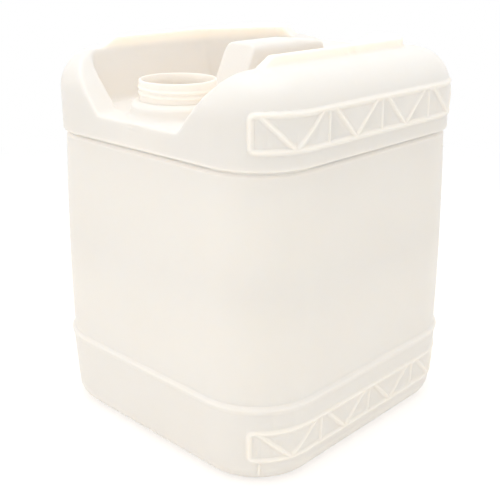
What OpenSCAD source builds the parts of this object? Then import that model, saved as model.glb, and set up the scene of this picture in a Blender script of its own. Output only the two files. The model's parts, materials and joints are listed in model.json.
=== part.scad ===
// Square tight head pail: one blow-moulded shell with an open screw neck.
// Z is up, the origin is the middle of the base, and the neck side faces -Y.

/* [Body] */
// Width across the truss faces, measured at the groove
body_w = 260; // [252:1:320]
// Depth from the neck face to the back, measured at the groove
body_d = 265; // [262:1:320]
// Height of the flat shoulder above the floor
shoulder_h = 322; // [300:1:380]
// Radius of the upright corners, measured at the groove
corner_r = 52; // [44:1:60]
// Wall thickness of the shell
wall = 2; // [1.4:0.1:2.6]

/* [Lower band] */
// Height of the ridge that tops the lower band
ridge_h = 68.5; // [62:0.5:90]
// How far the ridge stands out past the groove
ridge_out = 7.4; // [6.4:0.1:9]
// Radius of the ridge bead
ridge_r = 3; // [2.8:0.1:4]
// How far the band stands out just under the ridge
band_low_out = 6.3; // [5:0.1:7]
// How far the foot of the band stands out past the groove
foot_out = 3.4; // [2:0.1:5]
// Radius between the band and the base
base_r = 16; // [12:0.5:19]

/* [Waist] */
// How far the waist flares out above the ridge
flare = 4.6; // [3:0.1:5.5]
// Outward bow of the waist at half its height
bow = 1.4; // [0:0.1:2.5]

/* [Upper band] */
// Drop from the shoulder to the groove
band_drop = 69; // [66:0.5:90]
// How far the upper band stands out past the groove
band_out = 2.6; // [1.6:0.1:4]
// Radius of the groove
groove_r = 2; // [1.4:0.1:2.4]
// Radius of the shoulder
shoulder_r = 32; // [26:0.5:35]

/* [Truss] */
// Length of one bay, from post to post along the face
bay = 64.3; // [56:0.1:66]
// Bays each side of the middle on the +X face
near_bays = 2; // [1, 2]
// Bays each side of the middle on the -X face
far_bays = 1; // [1, 2]
// Height of a panel over its two rails
truss_tall = 29.5; // [26:0.5:31]
// Height of the lower panel's bottom edge
truss_low_h = 21; // [19:0.5:26]
// Drop from the shoulder to the upper panel's top edge
truss_drop = 25; // [24:0.5:29]
// Width of a bead
bead_w = 4; // [3:0.1:5]
// How far a bead stands out of the face
bead_up = 1.5; // [1:0.1:2]

/* [Well] */
// Depth of the well below the shoulder
well_deep = 46; // [40:0.5:52]
// Width of the well's floor
well_w = 168; // [160:1:172]
// How far each side wall leans out from floor to rim
well_lean = 3.5; // [0:0.5:4]
// Thickness of the shoulder in front of the well
front_dam = 22; // [18:0.5:26]
// Thickness of the shoulder behind the well
back_dam = 44; // [42:0.5:48]
// Distance over which the well narrows towards the back
taper_len = 71; // [60:1:76]
// Width of the well at its back
well_back_w = 100; // [90:1:112]
// Radius of the well's front corners
well_r = 14; // [8:1:18]
// Radius of the well's back corners
well_back_r = 16; // [10:1:20]
// Width of the pouring notch at the well's floor
notch_w = 94; // [90:1:98]
// Rise of the notch's side walls for each unit of run
notch_rise = 1.15; // [1.1:0.05:1.3]
// Width of the saddle behind the handle
saddle_w = 50; // [40:1:50]
// Depth of the saddle below the shoulder
saddle_deep = 5.5; // [3:0.5:7]

/* [Stacking rim] */
// Height of the rim above the shoulder
rim_h = 8; // [6:0.5:10]
// Width of the rim's flat top
rim_w = 5; // [4:0.5:7]
// Width of the opening in the rim at the back
rim_gap = 84; // [84:1:92]
// Distance from the back face to the rim
rim_set = 33; // [31:0.5:36]
// Radius of the rim's back corners
rim_r = 36; // [30:1:40]
// Distance from the neck face to where the rim starts
rim_start = 43; // [38:1:50]
// Width of the nick in the rim's outer face
nick_w = 9; // [6:0.5:12]
// Play between the rim and the recess under the pail that stands on it
stack_play = 1; // [0.5:0.1:2]

/* [Handle] */
// Width of the handle
handle_w = 34; // [28:1:38]
// Drop from the rim's top to the handle's highest point
handle_drop = 3; // [1:0.5:5]
// Fall of the handle's top from front to back
handle_fall = 4; // [0:0.5:5]
// Thickness of the grip over the finger gap, at its back
grip_thick = 20; // [18:0.5:22]
// Run of the slope at the handle's front end
handle_lean = 26; // [18:1:28]
// Length of the low web between the grip and the back of the well
web_len = 21; // [16:1:24]
// Space between the boss and the handle
neck_clear = 7; // [5:0.5:12]
// Radius of the handle's long top edges
handle_r = 8; // [6:0.5:10]

/* [Neck] */
// Bore of the neck
neck_bore = 58; // [54:0.5:62]
// Wall of the neck
neck_wall = 1.6; // [1.4:0.1:2.2]
// Height of the neck above the well's floor
neck_h = 29; // [27:0.5:33]
// How far a thread turn stands out of the neck
thread_up = 0.9; // [0.6:0.1:1.4]
// Height from one thread turn to the next
thread_pitch = 4.2; // [3.4:0.1:4.6]
// Diameter of the boss round the neck's foot
boss_d = 76; // [74:1:78]
// Height of the boss
boss_h = 13; // [11:0.5:14]
// Distance from the neck face to the neck's axis
neck_back = 42.5; // [41:0.5:44]

/* [Hidden] */
$fn = 96;
eps = 0.01;
// Overlap that joins solids and lets a cutter pass a face
lap = 1;
far = 400;

hw = body_w / 2;
hd = body_d / 2;
groove_h = shoulder_h - band_drop;
// How far outside the face the groove's centre lies
groove_set = 0.6;
mid_h = (ridge_h + groove_h) / 2;
floor_h = shoulder_h - well_deep;
rim_top = shoulder_h + rim_h;
well_front = front_dam - hd - band_out;
well_back = hd + band_out - back_dam;
well_half = well_w / 2;
rim_in = well_half + well_lean;
rim_out = rim_in + rim_w;
rim_lean = 3;
rim_foot = rim_out + rim_lean;
rim_back = hd + band_out - rim_set;
rim_front = rim_start - hd;
nick_y = 9;
// The notch ends this far before the foot of the rim's front slope
notch_clear = 4;
notch_back = rim_front - rim_h - notch_clear;
saddle_run = 16.5;
recess_deep = rim_h + stack_play;
neck_y = neck_back - hd;
neck_top = floor_h + neck_h;
lip_r = 0.8;
// Half the height of a thread turn at its root and at its crest
thread_root = 1.1;
thread_crest = 0.35;
// Depth that a thread turn is set into the neck
thread_sink = 0.2;
thread_start = 0.6;
boss_cove = 6;
boss_edge = 5;
handle_top = rim_top - handle_drop;
handle_foot = neck_y + boss_d / 2 + neck_clear;
handle_front = handle_foot + handle_lean;
grip_back = well_back - web_len;
pillar = 10;
gap_r = 9;
gap_top = handle_top - handle_fall - grip_thick;
gap_back = well_back - pillar - wall;
gap_front = handle_front + pillar;
// Width of a web bead as a share of the frame's, and how far short of a post it ends as a share of a bay
web_share = 0.75;
web_inset = 0.1;
// How far in from the side face the truss cutters start
truss_root = hw - corner_r + corner_r * cos(turn_at(2 * bay)) - 2 * bead_w;

// Angle that the face has turned through at distance s from its middle
function turn_at(s) = max(0, (s - hd + corner_r) / corner_r * 180 / PI);

// Right half of the upright section, its face at x = reach.
// Everything is moved inwards by cut, which is the wall for the hollow.
module half_section(reach, cut) {
    intersection() {
        translate([0, -far / 2]) square([reach + far, 2 * far]);
        difference() {
            union() {
                polygon([
                    [0, cut],
                    [reach + foot_out - base_r, cut],
                    [reach + foot_out - cut, base_r],
                    [reach + band_low_out - cut, ridge_h],
                    [reach + flare - cut, ridge_h],
                    [reach + flare / 2 + bow - cut, mid_h],
                    [reach - cut, groove_h],
                    [reach + band_out - cut, groove_h],
                    [reach + band_out - cut, shoulder_h - shoulder_r],
                    [reach + band_out - shoulder_r, shoulder_h - cut],
                    [0, shoulder_h - cut]
                ]);
                translate([reach + foot_out - base_r, base_r]) circle(base_r - cut);
                translate([reach + ridge_out - ridge_r, ridge_h]) circle(ridge_r - cut);
                translate([reach + band_out - shoulder_r, shoulder_h - shoulder_r])
                    circle(shoulder_r - cut);
            }
            translate([reach + groove_set, groove_h]) circle(groove_r + cut);
        }
    }
}

module full_section(reach, cut) {
    half_section(reach, cut);
    mirror([1, 0]) half_section(reach, cut);
}

// The body without its top's features: two crossed bars and four turned corners
module block(cut) {
    rotate([90, 0, 0])
        linear_extrude(body_d - 2 * corner_r, center = true) full_section(hw, cut);
    rotate([90, 0, 90])
        linear_extrude(body_w - 2 * corner_r, center = true) full_section(hd, cut);
    for (turn = [0 : 3]) {
        side = turn == 0 || turn == 3 ? 1 : -1;
        back = turn < 2 ? 1 : -1;
        translate([side * (hw - corner_r), back * (hd - corner_r), 0])
            rotate([0, 0, 90 * turn])
                rotate_extrude(angle = 90) half_section(corner_r, cut);
    }
}

function unit(v) = v / norm(v);

// How far along each side, and how far in, the rounding of corner i reaches for a radius of 1
function corner_spread(p, i) =
    let (
        n = len(p),
        u = unit(p[(i + n - 1) % n] - p[i]),
        v = unit(p[(i + 1) % n] - p[i]),
        sine = sqrt((1 - u * v) / 2),
        cosine = sqrt((1 + u * v) / 2)
    )
    [u * cosine / sine, v * cosine / sine, unit(u + v) / sine];

// A convex outline with its corners rounded to the radii in r, then grown by grow
module soft_outline(p, r, grow = 0) {
    last = len(p) - 1;
    polygon([
        for (i = [0 : last])
            let (spread = corner_spread(p, i))
                for (side = [0, 1])
                    p[i] + spread[2] * r[i] + (spread[side] - spread[2]) * (r[i] + grow)
    ]);
    for (i = [0 : last])
        translate(p[i] + corner_spread(p, i)[2] * r[i]) circle(r[i] + grow);
}

module rounded_plan(x, y0, y1, r) {
    soft_outline([[-x, y0], [x, y0], [x, y1], [-x, y1]], [r, r, r, r]);
}

// A section drawn in X and Z, run along Y
module along_y(y0, y1) {
    translate([0, y1, 0]) rotate([90, 0, 0]) linear_extrude(y1 - y0) children();
}

// A side view drawn in Y and Z, run along X
module along_x(x) {
    rotate([90, 0, 90]) linear_extrude(2 * x, center = true) children();
}

// The well, its pouring notch and the saddle, all grown by cut
module well(cut) {
    tall = rim_top + lap - floor_h;
    taper_y = well_back - taper_len;
    intersection() {
        translate([0, 0, floor_h - cut])
            linear_extrude(tall + cut)
                soft_outline(
                    [
                        [-rim_in, well_front],
                        [rim_in, well_front],
                        [rim_in, taper_y],
                        [well_back_w / 2, well_back],
                        [-well_back_w / 2, well_back],
                        [-rim_in, taper_y]
                    ],
                    [well_r, well_r, taper_len / 2, well_back_r, well_back_r, taper_len / 2],
                    cut
                );
        along_y(-far, far)
            polygon([
                [-well_half - cut, floor_h - cut],
                [well_half + cut, floor_h - cut],
                [rim_in + cut, rim_top],
                [rim_in + cut, rim_top + 2 * lap],
                [-rim_in - cut, rim_top + 2 * lap],
                [-rim_in - cut, rim_top]
            ]);
    }
    slide = cut * norm([1, notch_rise]) / notch_rise;
    notch_foot = notch_w / 2 + slide - cut / notch_rise;
    notch_top = notch_w / 2 + slide + tall / notch_rise;
    along_y(-far, notch_back)
        polygon([
            [-notch_foot, floor_h - cut],
            [notch_foot, floor_h - cut],
            [notch_top, rim_top + lap],
            [-notch_top, rim_top + lap]
        ]);
    saddle_foot = saddle_w / 2 + cut;
    saddle_edge = saddle_foot + saddle_run;
    along_y(well_back - well_back_r, far)
        polygon([
            [-saddle_foot, shoulder_h - saddle_deep - cut],
            [saddle_foot, shoulder_h - saddle_deep - cut],
            [saddle_edge, shoulder_h],
            [saddle_edge, shoulder_h + lap],
            [-saddle_edge, shoulder_h + lap],
            [-saddle_edge, shoulder_h]
        ]);
}

// The raised rim round the well, which the pail above stands over
module rim() {
    low = shoulder_h - wall;
    slope = rim_h + wall;
    intersection() {
        translate([0, 0, low])
            linear_extrude(rim_top - low)
                rounded_plan(rim_foot, -far, rim_back, rim_r);
        along_y(-far, far)
            polygon([[-rim_foot, low], [rim_foot, low], [rim_out, rim_top], [-rim_out, rim_top]]);
        along_x(far)
            polygon([
                [rim_front - slope, low],
                [rim_back, low],
                [rim_back, rim_top],
                [rim_front + rim_h, rim_top]
            ]);
    }
}

module rim_cuts() {
    along_y(well_back - well_back_r, rim_back + lap)
        polygon([
            [-rim_gap / 2, shoulder_h],
            [rim_gap / 2, shoulder_h],
            [rim_gap / 2 + rim_h + lap, rim_top + lap],
            [-rim_gap / 2 - rim_h - lap, rim_top + lap]
        ]);
    for (sx = [-1, 1])
        translate([sx * (rim_foot + rim_out + lap) / 2, nick_y, shoulder_h + rim_h / 2 + lap])
            cube([rim_lean + lap, nick_w, rim_h], center = true);
}

// The carrying handle: a hollow bridge from a pillar behind the neck to a low web at the back
module handle(cut) {
    low = floor_h - wall - lap;
    saddle_h = shoulder_h - saddle_deep;
    rise = handle_top - floor_h;
    shift = cut * norm([rise, handle_lean]) / rise;
    intersection() {
        along_y(-far, far)
            difference() {
                translate([-handle_w / 2 + cut, low])
                    square([handle_w - 2 * cut, handle_top - cut - low]);
                for (sx = [-1, 1])
                    translate([sx * (handle_w / 2 - handle_r), handle_top - handle_r])
                        difference() {
                            translate([sx > 0 ? 0 : -handle_r, 0]) square(handle_r + eps);
                            circle(handle_r - cut);
                        }
            }
        along_x(handle_w)
            difference() {
                polygon([
                    [handle_foot + shift - handle_lean * (floor_h - low) / rise, low],
                    [handle_front + shift - handle_lean * cut / rise, handle_top - cut],
                    [handle_front + 2 * handle_lean, handle_top - cut],
                    [grip_back - cut, handle_top - handle_fall - cut],
                    [grip_back - cut, saddle_h - cut],
                    [well_back + wall + lap, saddle_h - cut],
                    [well_back + wall + lap, low]
                ]);
                finger_gap(cut);
            }
    }
}

// Side view of the finger gap under the grip, grown by cut
module finger_gap(cut) {
    r = gap_r + cut;
    low = floor_h - cut;
    high = gap_top + cut;
    difference() {
        translate([gap_front - cut, low])
            square([gap_back - gap_front + 2 * cut, high - low]);
        translate([gap_front - cut, high - r])
            difference() {
                square(r);
                translate([r, 0]) circle(r);
            }
        translate([gap_back + cut - r, high - r])
            difference() {
                square(r);
                circle(r);
            }
    }
}

// Boss round the foot of the neck, with a rounded top edge and a cove at its foot
module boss(cut) {
    low = floor_h - wall - lap;
    r = boss_d / 2;
    translate([0, neck_y, 0])
        rotate_extrude() {
            difference() {
                translate([0, low]) square([r - cut, floor_h + boss_h - cut - low]);
                translate([r - boss_edge, floor_h + boss_h - boss_edge])
                    difference() {
                        square(boss_edge + eps);
                        circle(boss_edge - cut);
                    }
            }
            difference() {
                translate([0, low]) square([r + boss_cove, floor_h + boss_cove - low]);
                translate([r + boss_cove, floor_h + boss_cove]) circle(boss_cove + cut);
            }
        }
}

// The neck with its thread turns
module neck() {
    root = neck_bore / 2 + neck_wall;
    crest = root + thread_up;
    translate([0, neck_y, 0])
        rotate_extrude()
            difference() {
                union() {
                    translate([0, floor_h]) square([root, neck_h]);
                    for (turn = [0, 1])
                        translate([0, neck_top - thread_pitch * (turn + 1) - thread_start])
                            polygon([
                                [0, -thread_root],
                                [root - thread_sink, -thread_root],
                                [crest, -thread_crest],
                                [crest, thread_crest],
                                [root - thread_sink, thread_root],
                                [0, thread_root]
                            ]);
                }
                translate([root - lip_r, neck_top - lip_r])
                    difference() {
                        square(lip_r + eps);
                        circle(lip_r);
                    }
            }
}

module bore() {
    translate([0, neck_y, floor_h - 3 * wall])
        cylinder(d = neck_bore, h = neck_h + 3 * wall + lap);
}

// Recess under the base, which takes the rim of the pail below
module base_recess(cut) {
    y = rim_back + stack_play + cut;
    translate([0, 0, -lap])
        linear_extrude(recess_deep + cut + lap)
            rounded_plan(rim_foot + stack_play + cut, -y, y, rim_r + stack_play + cut);
}

// The solid form, or with cut = wall the hollow inside it
module form(cut) {
    difference() {
        block(cut);
        well(cut);
        base_recess(cut);
    }
    handle(cut);
    boss(cut);
}

// Place along Y of a point at distance s along the face and round the corner
function along_face(s, out) =
    let (flat = hd - corner_r, r = corner_r + out)
    abs(s) <= flat ? s : sign(s) * (flat + r * sin((abs(s) - flat) / r * 180 / PI));

module bar(from, to, w) {
    run = to - from;
    translate(from)
        rotate(atan2(run[1], run[0]))
            translate([0, -w / 2]) square([norm(run), w]);
}

// One truss panel in Y and Z with n bays each side of its middle, its bottom edge at z = low
module truss(low, out, n) {
    bottom = low + bead_w / 2;
    top = low + truss_tall - bead_w / 2;
    end_w = bead_w * cos(turn_at(n * bay));
    reach = along_face(n * bay, out) + end_w / 2;
    web_w = bead_w * web_share;
    difference() {
        translate([-reach, low]) square([2 * reach, truss_tall]);
        translate([end_w - reach, low + bead_w])
            square([2 * (reach - end_w), truss_tall - 2 * bead_w]);
    }
    for (post = [1 - n : n - 1]) {
        y = along_face(post * bay, out);
        bar([y, bottom], [y, top], web_w);
    }
    for (span = [-n : n - 1]) {
        left = along_face((span + web_inset) * bay, out);
        dip = along_face((span + 0.5) * bay, out);
        right = along_face((span + 1 - web_inset) * bay, out);
        bar([left, top], [dip, bottom], web_w);
        bar([right, top], [dip, bottom], web_w);
    }
}

// All truss beads: the panels run through a slightly larger body
module trusses() {
    intersection() {
        block(-bead_up);
        for (sx = [-1, 1])
            translate([sx * (truss_root + corner_r), 0, 0])
                rotate([90, 0, 90])
                    linear_extrude(2 * corner_r, center = true) {
                        n = sx > 0 ? near_bays : far_bays;
                        truss(truss_low_h, foot_out, n);
                        truss(shoulder_h - truss_drop - truss_tall, band_out, n);
                    }
    }
}

module pail() {
    color("#f3eee6")
        difference() {
            union() {
                form(0);
                trusses();
                difference() {
                    rim();
                    well(0);
                    rim_cuts();
                }
                neck();
            }
            form(wall);
            bore();
        }
}

pail();
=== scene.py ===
import json
import math

import bmesh
import bpy
import numpy as np
from mathutils import Matrix, Vector

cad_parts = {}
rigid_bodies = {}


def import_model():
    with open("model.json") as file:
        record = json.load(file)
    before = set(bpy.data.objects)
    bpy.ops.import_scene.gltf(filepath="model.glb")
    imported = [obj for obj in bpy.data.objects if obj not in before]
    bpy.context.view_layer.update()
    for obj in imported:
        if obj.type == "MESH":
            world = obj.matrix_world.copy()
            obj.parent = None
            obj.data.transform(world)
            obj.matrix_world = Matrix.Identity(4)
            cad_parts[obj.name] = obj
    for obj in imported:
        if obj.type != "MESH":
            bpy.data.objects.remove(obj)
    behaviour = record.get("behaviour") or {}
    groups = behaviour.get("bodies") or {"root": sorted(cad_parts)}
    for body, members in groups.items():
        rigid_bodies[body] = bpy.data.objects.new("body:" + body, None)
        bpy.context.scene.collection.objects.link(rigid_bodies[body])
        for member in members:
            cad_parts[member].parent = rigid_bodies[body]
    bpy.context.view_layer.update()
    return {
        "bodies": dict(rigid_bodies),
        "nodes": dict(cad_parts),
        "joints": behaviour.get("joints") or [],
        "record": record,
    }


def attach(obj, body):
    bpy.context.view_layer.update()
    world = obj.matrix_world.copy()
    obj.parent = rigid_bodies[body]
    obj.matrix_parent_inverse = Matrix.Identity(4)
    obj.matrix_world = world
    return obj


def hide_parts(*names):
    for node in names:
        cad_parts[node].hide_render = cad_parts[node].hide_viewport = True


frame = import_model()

mm = 0.001


def linear(hexColour):
    parts = [int(hexColour[i:i + 2], 16) / 255 for i in (1, 3, 5)]
    return [c / 12.92 if c <= 0.04045 else ((c + 0.055) / 1.055) ** 2.4 for c in parts] + [1.0]


def addNode(tree, kind, links=None, **settings):
    node = tree.nodes.new(kind)
    for name, value in settings.items():
        setattr(node, name, value)
    for socket, value in (links or {}).items():
        if isinstance(value, bpy.types.NodeSocket):
            tree.links.new(value, node.inputs[socket])
        else:
            node.inputs[socket].default_value = value
    return node


def addObject(name, data):
    thing = bpy.data.objects.new(name, data)
    bpy.context.scene.collection.objects.link(thing)
    return thing


def meshFrom(name, points, faces=(), edges=()):
    mesh = bpy.data.meshes.new(name)
    mesh.from_pydata([tuple(p) for p in points], [tuple(e) for e in edges], [tuple(f) for f in faces])
    mesh.update()
    return mesh


def applied(thing):
    # the evaluated mesh takes the place of the mesh and its modifiers
    graph = bpy.context.evaluated_depsgraph_get()
    mesh = bpy.data.meshes.new_from_object(thing.evaluated_get(graph))
    thing.modifiers.clear()
    old = thing.data
    thing.data = mesh
    if old.users == 0:
        bpy.data.meshes.remove(old)
    return thing


# The camera stands where the photograph was taken
cameraSizes = {
    "place": (0.50697, -0.54009, 0.40788),
    "yaw": -46.416,
    "pitch": 20.019,
    "roll": 0.163,
    "lens": 61.49,
    "sensor": 36.0,
}


def makeCamera(sizes):
    yaw, pitch, roll = (math.radians(sizes[k]) for k in ("yaw", "pitch", "roll"))
    back = Vector((math.cos(yaw) * math.cos(pitch), math.sin(yaw) * math.cos(pitch), math.sin(pitch)))
    right = Vector((-math.sin(yaw), math.cos(yaw), 0))
    up = back.cross(right)
    across = right * math.cos(roll) + up * math.sin(roll)
    upright = up * math.cos(roll) - right * math.sin(roll)
    lens = bpy.data.cameras.new("camera")
    lens.lens, lens.sensor_width = sizes["lens"], sizes["sensor"]
    lens.clip_start, lens.clip_end = 0.05, 20
    camera = addObject("camera", lens)
    turn = Matrix((across, upright, back)).transposed().to_4x4()
    camera.matrix_world = Matrix.Translation(sizes["place"]) @ turn
    bpy.context.scene.camera = camera


makeCamera(cameraSizes)
print("camera placed")

# The moulded body's sides, which follow one upright profile all round, in mm
bodySizes = {
    "halfWidth": 130.0,
    "halfDepth": 132.5,
    "cornerRadius": 52.0,
    "shoulder": 322.0,
    "shoulderRadius": 32.0,
    "bandOut": 2.6,
    "grooveHeight": 253.0,
    "grooveDeep": 1.5,
    "grooveHalf": 3.0,
    "overhang": 3.4,
    "flare": 4.6,
    "bow": 1.4,
    "ridgeHeight": 68.5,
    "ridgeOut": 7.3,
    "ridgeAbove": 3.6,
    "ridgeBelow": 4.5,
    "bandLowOut": 6.3,
    "footOut": 3.4,
    "footHeight": 16.0,
    "bandClear": 10.0,  # above the groove by this much, the side is the upper band's alone
    "panels": ((19.0, 55.0), (264.0, 299.0)),  # heights where the CAD's beads are taken off
    "lowBandTo": 100.0,
    "beadLeast": 0.2,
    "skinDepth": 6.0,  # how far in from the outline a point still counts as the side's
    "grooveFine": 5.0,
    "ridgeFine": 7.0,
    "arcDepth": 3.0,
    "snapHigh": 262.0,
    "snapFade": 5.0,
    "voxel": 1.25,
    "triangles": 118000,
    "cavityLift": 6.0,
    "sharpAngle": 80.0,
}


def outline(x, y, sizes):
    # distance outwards from the waist's rounded outline, and the way outwards, in mm
    r = sizes["cornerRadius"]
    qx = np.abs(x) - (sizes["halfWidth"] - r)
    qy = np.abs(y) - (sizes["halfDepth"] - r)
    ox, oy = np.maximum(qx, 0), np.maximum(qy, 0)
    outside = np.hypot(ox, oy)
    length = np.maximum(outside, 1e-6)
    distance = outside + np.minimum(np.maximum(qx, qy), 0) - r
    return distance, np.sign(x) * ox / length, np.sign(y) * oy / length


def smoothStep(t):
    t = np.clip(t, 0, 1)
    return t * t * (3 - 2 * t)


def lowBand(h, sizes):
    # how far the lower band's slanting side stands out at height h
    foot, ridge = sizes["footHeight"], sizes["ridgeHeight"]
    return sizes["footOut"] + (sizes["bandLowOut"] - sizes["footOut"]) * (h - foot) / (ridge - foot)


def sideProfile(h, sizes):
    # how far the bare sides stand out at height h: foot, lower band, ridge, waist, groove, upper band
    foot, ridge, groove = sizes["footHeight"], sizes["ridgeHeight"], sizes["grooveHeight"]
    low = lowBand(h, sizes)
    under = np.clip(foot - h, 0, foot)
    low = np.where(h < foot, sizes["footOut"] - foot + np.sqrt(foot * foot - under * under), low)
    t = np.clip((h - ridge) / (groove - ridge), 0, 1)
    waist = sizes["flare"] * (1 - t) + 4 * sizes["bow"] * t * (1 - t)
    below = low + (sizes["ridgeOut"] - low) * smoothStep(1 - (ridge - h) / sizes["ridgeBelow"])
    ledge = np.clip(1 - (h - ridge) / sizes["ridgeAbove"], 0, 1)
    above = waist + (sizes["ridgeOut"] - waist) * np.sin(ledge * math.pi / 2)
    side = np.where(h < ridge, below, above)
    side = side + (sizes["bandOut"] - side) * smoothStep((h - groove) / sizes["overhang"])
    dip = np.clip(np.abs(h - groove) / sizes["grooveHalf"], 0, 1)
    side = side - sizes["grooveDeep"] * (0.5 + 0.5 * np.cos(np.pi * dip))
    r = sizes["shoulderRadius"]
    over = np.clip(h - (sizes["shoulder"] - r), 0, r)
    return np.where(h > groove + sizes["bandClear"], sizes["bandOut"] - r + np.sqrt(r * r - over * over), side)


neckSizes = {
    "centre": -90.0,
    "bore": 29.0,
    "root": 30.6,
    "bottom": 286.5,
    "top": 305.0,
    "lip": 0.8,
    "lipReach": 31.0,  # the lip's flat ring lies within this radius
    "lipNear": 0.1,
    "lipPoints": 6,
    "chamfer": 0.3,
    "stumpRadius": 33.0,  # inside this radius the CAD's neck is cut down to the stump
    "stumpTop": 289.0,
    "threadUp": 1.0,
    "threadWide": 1.5,
    "threadFullness": 0.7,
    "pitch": 4.2,
    "threadTop": 301.2,
    "turns": 2.0,
    "startAngle": 60.0,
    "fade": 25.0,
    "around": 128,
    "rows": 64,
}


def splitShell(mesh):
    # the CAD shell parts into its outer and its inner skin once the lip's flat ring is gone
    bm = bmesh.new()
    bm.from_mesh(mesh)
    bmesh.ops.remove_doubles(bm, verts=bm.verts, dist=0.002 * mm)
    bmesh.ops.dissolve_degenerate(bm, dist=0.001 * mm, edges=bm.edges)
    top, centre = neckSizes["top"] * mm, neckSizes["centre"] * mm
    reach, near = neckSizes["lipReach"] * mm, neckSizes["lipNear"] * mm
    ring = []
    for face in bm.faces:
        middle = face.calc_center_median()
        level = face.normal.z > 0.9 and top - near < middle.z < top + near
        if level and math.hypot(middle.x, middle.y - centre) < reach:
            ring.append(face)
    bmesh.ops.delete(bm, geom=ring, context="FACES")
    bm.faces.ensure_lookup_table()
    seed = max(bm.faces, key=lambda f: f.calc_center_median().x)
    outer, stack = {seed}, [seed]
    while stack:
        for edge in stack.pop().edges:
            for face in edge.link_faces:
                if face not in outer:
                    outer.add(face)
                    stack.append(face)
    bm.faces.index_update()
    keep = {f.index for f in outer}
    inner = bm.copy()
    inner.faces.ensure_lookup_table()
    bmesh.ops.delete(bm, geom=[f for f in bm.faces if f.index not in keep], context="FACES")
    bmesh.ops.delete(inner, geom=[f for f in inner.faces if f.index in keep], context="FACES")
    return bm, inner


def coordinates(mesh):
    co = np.empty(len(mesh.vertices) * 3, np.float32)
    mesh.vertices.foreach_get("co", co)
    return co.reshape(-1, 3).astype(float) / mm


def makeOuter(bm, sizes):
    # the outer skin as a plain solid with no neck and no beads
    bmesh.ops.holes_fill(bm, edges=[e for e in bm.edges if e.is_boundary], sides=0)
    co = np.array([v.co for v in bm.verts]) / mm
    far, ox, oy = outline(co[:, 0], co[:, 1], sizes)
    h = co[:, 2]
    (lowFrom, lowTo), (highFrom, highTo) = sizes["panels"]
    upper = sideProfile(np.maximum(h, highFrom), sizes)
    base = np.where(h < sizes["lowBandTo"], lowBand(h, sizes), upper)
    panel = ((h > lowFrom) & (h < lowTo)) | ((h > highFrom) & (h < highTo))
    move = np.where(panel & (far > base + sizes["beadLeast"]), far - base, 0)
    co[:, 0] -= ox * move
    co[:, 1] -= oy * move
    neck = np.hypot(co[:, 0], co[:, 1] - neckSizes["centre"]) < neckSizes["stumpRadius"]
    co[neck & (h > neckSizes["stumpTop"]), 2] = neckSizes["stumpTop"]
    for v, p in zip(bm.verts, co * mm):
        v.co = p
    mesh = bpy.data.meshes.new("pailShell")
    bm.to_mesh(mesh)
    bm.free()
    shell = addObject("pailShell", mesh)
    remesh = shell.modifiers.new("remesh", "REMESH")
    remesh.mode, remesh.voxel_size, remesh.adaptivity = "VOXEL", sizes["voxel"] * mm, 0
    applied(shell)
    print("shell remeshed:", len(shell.data.polygons), "faces")
    return shell


# How much the moulded edges round off: a share for each region, and where it starts, in mm
softSizes = {
    "sides": 0.12,
    "well": 1.0,
    "wellFrom": 262.0,
    "rim": 0.55,
    "rimFrom": 323.0,
    "foot": 0.6,
    "footTo": 14.0,
    "boss": 0.3,
    "bossRadius": 46.0,
    "factor": 0.5,
    "passes": 24,
}


def softenShell(shell, sizes):
    # edges round off as in blow moulding: most in the well, least on the sides
    co = coordinates(shell.data)
    h = co[:, 2]
    weight = np.where(h > sizes["wellFrom"], sizes["well"], sizes["sides"])
    weight[h > sizes["rimFrom"]] = sizes["rim"]
    weight[h < sizes["footTo"]] = sizes["foot"]
    boss = np.hypot(co[:, 0], co[:, 1] - neckSizes["centre"]) < sizes["bossRadius"]
    weight[boss & (h > sizes["wellFrom"])] = sizes["boss"]
    group = shell.vertex_groups.new(name="soft")
    for value in np.unique(weight):
        group.add(np.nonzero(weight == value)[0].tolist(), float(value), "REPLACE")
    smooth = shell.modifiers.new("soften", "SMOOTH")
    smooth.factor, smooth.iterations, smooth.vertex_group = sizes["factor"], sizes["passes"], "soft"
    applied(shell)
    print("shell softened")


def refineShell(shell, sizes):
    # finer faces at the ridge and the groove, then the sides snap to their profile
    mesh = shell.data
    co = coordinates(mesh)
    h = co[:, 2]
    side = outline(co[:, 0], co[:, 1], sizes)[0] > -sizes["skinDepth"]
    atGroove = np.abs(h - sizes["grooveHeight"]) < sizes["grooveFine"]
    fine = side & (atGroove | (np.abs(h - sizes["ridgeHeight"]) < sizes["ridgeFine"]))
    bm = bmesh.new()
    bm.from_mesh(mesh)
    bm.verts.ensure_lookup_table()
    edges = [e for e in bm.edges if fine[e.verts[0].index] and fine[e.verts[1].index]]
    bmesh.ops.subdivide_edges(bm, edges=edges, cuts=1, use_grid_fill=True)
    bmesh.ops.triangulate(bm, faces=[f for f in bm.faces if len(f.verts) > 4])
    bm.to_mesh(mesh)
    bm.free()
    co = coordinates(mesh)
    far, ox, oy = outline(co[:, 0], co[:, 1], sizes)
    h = co[:, 2]
    fade = smoothStep((sizes["snapHigh"] - h) / sizes["snapFade"])
    side = (far > -sizes["skinDepth"]) & (h > sizes["footHeight"])
    move = np.where(side, (sideProfile(h, sizes) - far) * fade, 0)
    # under the foot's height the side turns into the base along an arc
    foot = sizes["footHeight"]
    centre = sizes["footOut"] - foot
    reach = np.maximum(np.hypot(far - centre, h - foot), 1e-6)
    arc = (h <= foot) & (far > centre) & (reach > foot - sizes["arcDepth"])
    move = np.where(arc, (far - centre) * (foot / reach - 1), move)
    co[:, 2] = np.where(arc, foot + (h - foot) * foot / reach, h)
    co[:, 0] += ox * move
    co[:, 1] += oy * move
    mesh.vertices.foreach_set("co", (co * mm).astype(np.float32).ravel())
    mesh.update()
    print("shell refined:", len(mesh.polygons), "faces")


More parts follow.
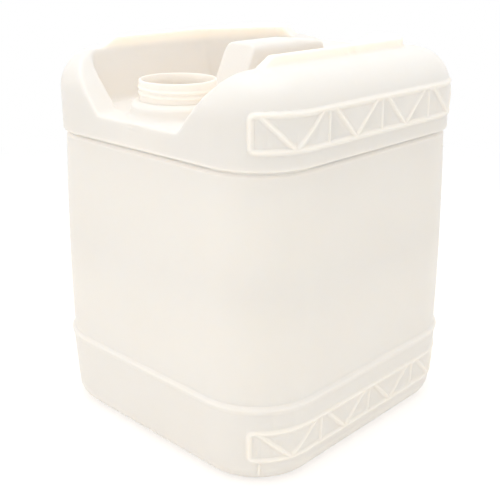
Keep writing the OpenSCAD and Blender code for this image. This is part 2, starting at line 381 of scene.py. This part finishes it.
def makeNeck(sizes):
    # one closed ring: outer wall with its helical thread, lip, inner wall
    top, lip = sizes["top"], sizes["lip"]
    rows = [(sizes["root"], sizes["bottom"] + (top - lip - sizes["bottom"]) * i / sizes["rows"], True)
            for i in range(sizes["rows"] + 1)]
    for i in range(1, sizes["lipPoints"] + 1):
        a = math.radians(90 / sizes["lipPoints"] * i)
        rows.append((sizes["root"] - lip + lip * math.cos(a), top - lip + lip * math.sin(a), False))
    bore, chamfer = sizes["bore"], sizes["chamfer"]
    rows += [(bore + chamfer, top, False), (bore, top - chamfer, False),
             (bore, (top + sizes["bottom"]) / 2, False), (bore, sizes["bottom"], False)]
    around = sizes["around"]
    points = []
    for radius, height, outer in rows:
        for k in range(around):
            angle = 2 * math.pi * k / around
            r = radius
            if outer:
                for lap in range(-1, int(sizes["turns"]) + 2):
                    t = (angle / (2 * math.pi) + lap) * 360 - sizes["startAngle"]
                    length = sizes["turns"] * 360
                    if 0 <= t <= length:
                        fade = min(1, t / sizes["fade"], (length - t) / sizes["fade"])
                        middle = sizes["threadTop"] - sizes["pitch"] * t / 360
                        off = abs(height - middle) / sizes["threadWide"]
                        if off < 1:
                            bell = (0.5 + 0.5 * math.cos(math.pi * off)) ** sizes["threadFullness"]
                            r += sizes["threadUp"] * fade * bell
            depth = sizes["centre"] + r * math.sin(angle)
            points.append((r * math.cos(angle) * mm, depth * mm, height * mm))
    count = len(rows)
    faces = []
    for i in range(count):
        j = (i + 1) % count
        for k in range(around):
            n = (k + 1) % around
            faces.append((i * around + k, i * around + n, j * around + n, j * around + k))
    return addObject("neck", meshFrom("neck", points, faces))


trussSizes = {
    "bay": 64.3,
    "panelHeight": 29.5,
    "lowPanel": 21.0,
    "highPanel": 267.5,
    "railInset": 2.1,
    "cornerRadius": 3.2,
    "webInset": 0.1,
    "frameHalf": 2.9,
    "webHalf": 2.7,
    "postHalf": 2.0,
    "rise": 0.54,
    "fullness": 0.62,
    "foot": -0.05,
    "depth": -0.3,
    "step": 2.5,
    "across": 13,
    "nearBays": 2,
    "farBays": 1,
}


def trussLines(bays, low, sizes):
    # one panel drawn flat, x along the face and y up: kind of bead, its corners and its half width
    bottom, top = low + sizes["railInset"], low + sizes["panelHeight"] - sizes["railInset"]
    end, bay, inset, r = bays * sizes["bay"], sizes["bay"], sizes["webInset"], sizes["cornerRadius"]
    frame = []
    corners = ((end - r, top - r, 0), (r - end, top - r, 90), (r - end, bottom + r, 180), (end - r, bottom + r, 270))
    for cx, cy, first in corners:
        turns = [math.radians(first + a) for a in (0, 22.5, 45, 67.5, 90)]
        frame += [(cx + r * math.cos(a), cy + r * math.sin(a)) for a in turns]
    lines = [("frame", frame, sizes["frameHalf"])]
    for span in range(-bays, bays):
        left, dip, right = ((span + part) * bay for part in (inset, 0.5, 1 - inset))
        lines.append(("fallingWeb", [(left, top), (dip, bottom)], sizes["webHalf"]))
        lines.append(("risingWeb", [(dip, bottom), (right, top)], sizes["webHalf"]))
    for post in range(1 - bays, bays):
        lines.append(("post", [(post * bay, bottom), (post * bay, top)], sizes["postHalf"]))
    return lines


def makeDrawing(wanted, sizes):
    # the centre lines of one kind of bead as edges, with the pail's side and the half width at each point
    points, edges, sides, girths = [], [], [], []
    for side, bays in ((1, sizes["nearBays"]), (-1, sizes["farBays"])):
        panels = trussLines(bays, sizes["lowPanel"], sizes) + trussLines(bays, sizes["highPanel"], sizes)
        for kind, corners, girth in panels:
            if kind != wanted:
                continue
            start, closed = len(points), kind == "frame"
            path = corners + corners[:1] if closed else corners
            for a, b in zip(path, path[1:]):
                count = max(1, round(math.dist(a, b) / sizes["step"]))
                for i in range(count):
                    points.append((a[0] + (b[0] - a[0]) * i / count, a[1] + (b[1] - a[1]) * i / count))
            if not closed:
                points.append(path[-1])
            edges += [(i, i + 1) for i in range(start, len(points) - 1)]
            if closed:
                edges.append((len(points) - 1, start))
            sides += [float(side)] * (len(points) - start)
            girths += [girth * mm] * (len(points) - start)
    mesh = meshFrom(wanted, [(x * mm, y * mm, 0) for x, y in points], edges=edges)
    mesh.attributes.new("side", "FLOAT", "POINT").data.foreach_set("value", sides)
    mesh.attributes.new("girth", "FLOAT", "POINT").data.foreach_set("value", girths)
    return addObject(wanted, mesh)


def beadTree(material):
    # wraps the flat drawing round the shell and sweeps a low rounded bead along it
    tree = bpy.data.node_groups.new("mouldedBeads", "GeometryNodeTree")
    face = tree.interface
    face.new_socket("Geometry", in_out="INPUT", socket_type="NodeSocketGeometry")
    face.new_socket("Shell", in_out="INPUT", socket_type="NodeSocketObject")
    for name in ("Half Width", "Half Depth", "Corner Radius", "Rise", "Fullness", "Foot", "Depth"):
        face.new_socket(name, in_out="INPUT", socket_type="NodeSocketFloat")
    face.new_socket("Points Across", in_out="INPUT", socket_type="NodeSocketInt")
    face.new_socket("Geometry", in_out="OUTPUT", socket_type="NodeSocketGeometry")
    given = addNode(tree, "NodeGroupInput").outputs

    def maths(operation, a, b=0.0, c=0.0):
        return addNode(tree, "ShaderNodeMath", {0: a, 1: b, 2: c}, operation=operation).outputs[0]

    def stored(name, kind):
        node = addNode(tree, "GeometryNodeInputNamedAttribute", {"Name": name}, data_type=kind)
        return node.outputs["Attribute"]

    place = addNode(tree, "GeometryNodeInputPosition").outputs[0]
    flat = addNode(tree, "ShaderNodeSeparateXYZ", {0: place}).outputs
    along = maths("ABSOLUTE", flat[0])
    radius = given["Corner Radius"]
    straight = maths("SUBTRACT", given["Half Depth"], radius)
    angle = maths("DIVIDE", maths("MAXIMUM", maths("SUBTRACT", along, straight), 0.0), radius)
    bent = maths("MULTIPLY", maths("SINE", angle), radius)
    reach = maths("ADD", bent, maths("MINIMUM", along, straight))
    depth = maths("MULTIPLY", reach, maths("SIGN", flat[0]))
    level = maths("SUBTRACT", given["Half Width"], radius)
    out = maths("ADD", maths("MULTIPLY", maths("COSINE", angle), radius), level)
    width = maths("MULTIPLY", out, stored("side", "FLOAT"))
    wrapped = addNode(tree, "ShaderNodeCombineXYZ", {0: width, 1: depth, 2: flat[1]}).outputs[0]
    laid = addNode(tree, "GeometryNodeSetPosition", {
        "Geometry": given["Geometry"], "Position": wrapped}).outputs[0]
    target = addNode(tree, "GeometryNodeObjectInfo", {"Object": given["Shell"]}).outputs["Geometry"]
    nearest = addNode(tree, "GeometryNodeProximity", {0: target, "Sample Position": place}, target_element="FACES")
    onShell = nearest.outputs["Position"]
    gap = addNode(tree, "ShaderNodeVectorMath", {0: onShell, 1: place}, operation="SUBTRACT").outputs[0]
    outward = addNode(tree, "ShaderNodeVectorMath", {0: gap}, operation="NORMALIZE").outputs[0]
    noted = addNode(tree, "GeometryNodeStoreNamedAttribute", {
        "Geometry": laid, "Name": "outward", "Value": outward},
        data_type="FLOAT_VECTOR", domain="POINT").outputs[0]
    seated = addNode(tree, "GeometryNodeSetPosition", {"Geometry": noted, "Position": onShell}).outputs[0]
    line = addNode(tree, "GeometryNodeMeshToCurve", {"Mesh": seated}).outputs[0]
    turned = addNode(tree, "GeometryNodeSetCurveNormal", {
        "Curve": line, "Normal": stored("outward", "FLOAT_VECTOR")}, mode="FREE").outputs[0]
    # the bead's section: a bell over the face, closed by a flat foot under it
    count = given["Points Across"]
    row = addNode(tree, "GeometryNodeMeshLine", {
        "Count": maths("ADD", count, 2.0), "Offset": (0, 0, 0)}).outputs[0]
    index = addNode(tree, "GeometryNodeInputIndex").outputs[0]
    share = maths("MULTIPLY_ADD", maths("DIVIDE", index, maths("SUBTRACT", count, 1.0)), 2.0, -1.0)
    bell = maths("MULTIPLY_ADD", maths("COSINE", maths("MULTIPLY", share, math.pi)), 0.5, 0.5)
    full = maths("POWER", maths("MAXIMUM", bell, 0.0), given["Fullness"])
    height = maths("MULTIPLY_ADD", full, given["Rise"], given["Foot"])
    under = maths("GREATER_THAN", index, maths("SUBTRACT", count, 0.5))
    second = maths("GREATER_THAN", index, maths("ADD", count, 0.5))
    footShare = 0.9  # the foot's half width as a share of the bead's
    footAcross = maths("MULTIPLY_ADD", second, -2 * footShare, footShare)
    across = addNode(tree, "ShaderNodeMix", {0: under, 2: share, 3: footAcross}).outputs[0]
    up = addNode(tree, "ShaderNodeMix", {0: under, 2: height, 3: given["Depth"]}).outputs[0]
    point = addNode(tree, "ShaderNodeCombineXYZ", {0: up, 1: across, 2: 0.0}).outputs[0]
    shaped = addNode(tree, "GeometryNodeSetPosition", {"Geometry": row, "Position": point}).outputs[0]
    openLine = addNode(tree, "GeometryNodeMeshToCurve", {"Mesh": shaped}).outputs[0]
    section = addNode(tree, "GeometryNodeSetSplineCyclic", {"Geometry": openLine, "Cyclic": True}).outputs[0]
    tube = addNode(tree, "GeometryNodeCurveToMesh", {
        "Curve": turned, "Profile Curve": section,
        "Scale": stored("girth", "FLOAT"), "Fill Caps": True}).outputs[0]
    real = addNode(tree, "GeometryNodeRealizeInstances", {"Geometry": tube}).outputs[0]
    dressed = addNode(tree, "GeometryNodeSetMaterial", {"Geometry": real, "Material": material}).outputs[0]
    addNode(tree, "NodeGroupOutput", {"Geometry": dressed})
    return tree


def makeBeads(shell, material, sizes):
    # beads of one kind don't meet each other, so each kind is one clean solid
    tree = beadTree(material)
    keys = {item.name: item.identifier for item in tree.interface.items_tree if item.in_out == "INPUT"}
    made = []
    for kind in ("frame", "fallingWeb", "risingWeb", "post"):
        beads = makeDrawing(kind, sizes)
        nodes = beads.modifiers.new("beads", "NODES")
        nodes.node_group = tree
        nodes[keys["Shell"]] = shell
        nodes[keys["Half Width"]] = bodySizes["halfWidth"] * mm
        nodes[keys["Half Depth"]] = bodySizes["halfDepth"] * mm
        nodes[keys["Corner Radius"]] = bodySizes["cornerRadius"] * mm
        nodes[keys["Rise"]] = sizes["rise"]
        nodes[keys["Fullness"]] = sizes["fullness"]
        nodes[keys["Foot"]] = sizes["foot"]
        nodes[keys["Depth"]] = sizes["depth"]
        nodes[keys["Points Across"]] = sizes["across"]
        made.append(applied(beads))
        bm = bmesh.new()
        bm.from_mesh(beads.data)
        bmesh.ops.recalc_face_normals(bm, faces=bm.faces)
        bm.to_mesh(beads.data)
        bm.free()
    print("beads laid:", sum(len(o.data.polygons) for o in made), "faces")
    return made


def combine(shell, other, operation):
    # the shell takes in the other solid, or loses it, and the other goes
    step = shell.modifiers.new("combine", "BOOLEAN")
    step.operation, step.solver, step.object = operation, "MANIFOLD", other
    applied(shell)
    bpy.data.objects.remove(other)
    print(operation.lower(), "leaves", len(shell.data.polygons), "faces")


# High-density polyethylene, blow moulded: waxy, satin, slightly translucent, faintly uneven
plasticSizes = {
    "colour": "#f9f2ea",
    "warm": "#f8efe5",
    "roughness": 0.42,
    "roughLess": 0.04,
    "roughMore": 0.05,
    "mottleMm": 70.0,
    "wavesMm": 22.0,  # slow unevenness from the mould's cooling
    "wavesHighMm": 0.5,
    "wavesStrength": 0.25,
    "grainMm": 1.6,  # coarser than the blasted mould's real grain, so that it shows
    "grainHighMm": 0.1,
    "grainStrength": 0.12,
    "scatter": 0.85,
    "scatterMm": 6.0,
    "scatterRadius": (1.0, 0.9, 0.78),
}


def mouldedPolyethylene(sizes):
    material = bpy.data.materials.new("blowMouldedPolyethylene")
    material.use_nodes = True
    tree = material.node_tree
    tree.nodes.clear()
    place = addNode(tree, "ShaderNodeTexCoord").outputs["Object"]

    def noise(wide, detail):
        settings = {"Vector": place, "Scale": 1 / (wide * mm), "Detail": detail, "Roughness": 0.5}
        return addNode(tree, "ShaderNodeTexNoise", settings).outputs[0]

    mottle = noise(sizes["mottleMm"], 3.0)
    tint = addNode(tree, "ShaderNodeMix", {
        0: mottle, 6: linear(sizes["colour"]), 7: linear(sizes["warm"])}, data_type="RGBA")
    sheen = addNode(tree, "ShaderNodeMapRange", {
        "Value": mottle, "From Min": 0.3, "From Max": 0.7,
        "To Min": sizes["roughness"] - sizes["roughLess"],
        "To Max": sizes["roughness"] + sizes["roughMore"]})
    fine = addNode(tree, "ShaderNodeBump", {
        "Height": noise(sizes["grainMm"], 2.0), "Strength": sizes["grainStrength"],
        "Distance": sizes["grainHighMm"] * mm})
    bump = addNode(tree, "ShaderNodeBump", {
        "Height": noise(sizes["wavesMm"], 2.0), "Strength": sizes["wavesStrength"],
        "Distance": sizes["wavesHighMm"] * mm, "Normal": fine.outputs[0]})
    shade = addNode(tree, "ShaderNodeBsdfPrincipled", {
        "Base Color": tint.outputs[2],
        "Roughness": sheen.outputs[0],
        "IOR": 1.54,
        "Normal": bump.outputs[0],
        "Subsurface Weight": sizes["scatter"],
        "Subsurface Radius": sizes["scatterRadius"],
        "Subsurface Scale": sizes["scatterMm"] * mm,
    })
    addNode(tree, "ShaderNodeOutputMaterial", {"Surface": shade.outputs[0]})
    return material


plastic = mouldedPolyethylene(plasticSizes)

# Marks that the mould leaves: a nub on the notch's lip and a bead at the near corner's foot, in mm
mouldMarkSizes = {
    "around": 16,
    "nub": {"start": (-10.5, -133.2, 271.8), "end": (-1.5, -133.2, 271.2), "girth": 2.4, "rows": 12},
    "bead": {"low": 7.5, "high": 20.5, "girth": 1.1, "rows": 20},
}


def makeMouldMark(name, points, girth, around):
    # a closed rounded bar along the points, thick in the middle and fine at both ends
    along = (points[-1] - points[0]).normalized()
    side = along.orthogonal().normalized()
    other = along.cross(side)
    verts, faces = [points[0]], []
    for row in range(1, len(points) - 1):
        part = row / (len(points) - 1)
        radius = girth * (1 - abs(2 * part - 1) ** 3) ** 0.5
        for turn in range(around):
            angle = turn * math.tau / around
            verts.append(points[row] + radius * (math.cos(angle) * side + math.sin(angle) * other))
    verts.append(points[-1])
    rows = len(points) - 2
    for turn in range(around):
        after = (turn + 1) % around
        faces.append((0, 1 + after, 1 + turn))
        for row in range(rows - 1):
            base = 1 + row * around
            faces.append((base + turn, base + after, base + around + after, base + around + turn))
        base = 1 + (rows - 1) * around
        faces.append((base + turn, base + after, len(verts) - 1))
    return addObject(name, meshFrom(name, verts, faces))


def makeMouldMarks(sizes, body):
    nub, bead = sizes["nub"], sizes["bead"]
    start, end = Vector(nub["start"]), Vector(nub["end"])
    nubPoints = [start.lerp(end, row / nub["rows"]) * mm for row in range(nub["rows"] + 1)]
    beadPoints = []
    radius = body["cornerRadius"]
    for row in range(bead["rows"] + 1):
        height = bead["low"] + (bead["high"] - bead["low"]) * row / bead["rows"]
        reach = (radius + sideProfile(height, body)) * math.sqrt(0.5)
        place = (body["halfWidth"] - radius + reach, radius - body["halfDepth"] - reach, height)
        beadPoints.append(Vector(place) * mm)
    return [
        makeMouldMark("lipNub", nubPoints, nub["girth"] * mm, sizes["around"]),
        makeMouldMark("partingBead", beadPoints, bead["girth"] * mm, sizes["around"]),
    ]


def makePail():
    outerSkin, innerSkin = splitShell(frame["nodes"]["pail"].data)
    shell = makeOuter(outerSkin, bodySizes)
    softenShell(shell, softSizes)
    refineShell(shell, bodySizes)
    thin = shell.modifiers.new("thin", "DECIMATE")
    thin.ratio = bodySizes["triangles"] / sum(len(f.vertices) - 2 for f in shell.data.polygons)
    applied(shell)
    print("shell thinned:", len(shell.data.polygons), "faces")
    # the cavity reaches above the lip, so that it cuts the mouth open
    for vertex in innerSkin.verts:
        if vertex.is_boundary:
            vertex.co.z += bodySizes["cavityLift"] * mm
    bmesh.ops.holes_fill(innerSkin, edges=[e for e in innerSkin.edges if e.is_boundary], sides=0)
    bmesh.ops.reverse_faces(innerSkin, faces=innerSkin.faces)
    cavityMesh = bpy.data.meshes.new("cavity")
    innerSkin.to_mesh(cavityMesh)
    innerSkin.free()
    cavity = addObject("cavity", cavityMesh)
    marks = makeMouldMarks(mouldMarkSizes, bodySizes)
    for part in makeBeads(shell, plastic, trussSizes) + marks + [makeNeck(neckSizes)]:
        combine(shell, part, "UNION")
    combine(shell, cavity, "DIFFERENCE")
    mesh = shell.data.copy()
    bpy.data.objects.remove(shell)
    mesh.name = "squarePail"
    mesh.materials.clear()
    mesh.materials.append(plastic)
    for face in mesh.polygons:
        face.use_smooth = True
        face.material_index = 0
    mesh.set_sharp_from_angle(angle=math.radians(bodySizes["sharpAngle"]))
    pail = addObject("squarePail", mesh)
    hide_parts("pail")
    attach(pail, "root")
    mesh.calc_loop_triangles()
    print("pail made:", len(mesh.loop_triangles), "triangles")


makePail()

# The studio: white floor and background, soft plain light
studioSizes = {
    "floor": 8.0,
    "paper": "#f4f3f1",
    "paperSeen": "#b4b3b1",  # darker where the camera sees it, as the glow is added
    "floorGlow": 0.6,
    "floorFadeFrom": 0.3,
    "floorFadeTo": 1.1,
    "world": 0.98,
    "worldColour": "#fffaf4",
    "aim": (0.0, 0.0, 0.16),
    "lamps": {
        "topLamp": {"place": (0.0, 0.0, 1.7), "size": 1.3, "power": 8.0, "colour": "#f8fbff"},
        "keyLamp": {"place": (-0.7, -1.3, 1.0), "size": 1.0, "power": 2.7, "colour": "#fff9f6"},
        "frontLamp": {"place": (0.9, -1.0, 0.6), "size": 1.0, "power": 1.3, "colour": "#fff6ee"},
    },
}


def seenDirectly(tree):
    # 1 for what the camera sees, also in a reflection or through a clear thing
    ray = addNode(tree, "ShaderNodeLightPath").outputs
    direct = {0: ray["Is Camera Ray"], 1: ray["Is Glossy Ray"]}
    both = addNode(tree, "ShaderNodeMath", direct, operation="MAXIMUM").outputs[0]
    return addNode(tree, "ShaderNodeMath", {0: both, 1: ray["Is Transmission Ray"]}, operation="MAXIMUM").outputs[0]


def makeStudio(sizes):
    half = sizes["floor"] / 2
    corners = [(-half, -half, 0), (half, -half, 0), (half, half, 0), (-half, half, 0)]
    floor = addObject("floor", meshFrom("floor", corners, [(0, 1, 2, 3)]))
    paper = bpy.data.materials.new("whitePaper")
    paper.use_nodes = True
    tree = paper.node_tree
    tree.nodes.clear()
    matt = addNode(tree, "ShaderNodeBsdfDiffuse", {"Color": linear(sizes["paper"])})
    shadow = addNode(tree, "ShaderNodeBsdfDiffuse", {"Color": linear(sizes["paperSeen"])})
    glow = addNode(tree, "ShaderNodeEmission", {"Color": linear("#ffffff"), "Strength": sizes["floorGlow"]})
    lifted = addNode(tree, "ShaderNodeAddShader", {0: shadow.outputs[0], 1: glow.outputs[0]})
    white = addNode(tree, "ShaderNodeEmission", {"Color": linear("#ffffff"), "Strength": 1.0})
    place = addNode(tree, "ShaderNodeTexCoord").outputs["Object"]
    away = addNode(tree, "ShaderNodeVectorMath", {0: place}, operation="LENGTH").outputs["Value"]
    fade = addNode(tree, "ShaderNodeMapRange", {
        "Value": away, "From Min": sizes["floorFadeFrom"], "From Max": sizes["floorFadeTo"]},
        interpolation_type="SMOOTHSTEP")
    shown = addNode(tree, "ShaderNodeMixShader", {
        0: fade.outputs[0], 1: lifted.outputs[0], 2: white.outputs[0]})
    mixed = addNode(tree, "ShaderNodeMixShader", {
        0: seenDirectly(tree), 1: matt.outputs[0], 2: shown.outputs[0]})
    addNode(tree, "ShaderNodeOutputMaterial", {"Surface": mixed.outputs[0]})
    floor.data.materials.append(paper)

    world = bpy.data.worlds.new("studio")
    bpy.context.scene.world = world
    world.use_nodes = True
    tree = world.node_tree
    tree.nodes.clear()
    soft = addNode(tree, "ShaderNodeBackground", {
        "Color": linear(sizes["worldColour"]), "Strength": sizes["world"]})
    white = addNode(tree, "ShaderNodeBackground", {"Color": linear("#ffffff"), "Strength": 1.0})
    mixed = addNode(tree, "ShaderNodeMixShader", {
        0: seenDirectly(tree), 1: soft.outputs[0], 2: white.outputs[0]})
    addNode(tree, "ShaderNodeOutputWorld", {"Surface": mixed.outputs[0]})

    for name, lampSizes in sizes["lamps"].items():
        lamp = bpy.data.lights.new(name, "AREA")
        lamp.shape, lamp.size, lamp.energy = "DISK", lampSizes["size"], lampSizes["power"]
        lamp.color = linear(lampSizes["colour"])[:3]
        light = addObject(name, lamp)
        light.location = lampSizes["place"]
        backward = Vector(lampSizes["place"]) - Vector(sizes["aim"])
        light.rotation_euler = backward.to_track_quat("Z", "Y").to_euler()
    bpy.context.scene.view_settings.view_transform = "Standard"
    print("studio lit")


makeStudio(studioSizes)
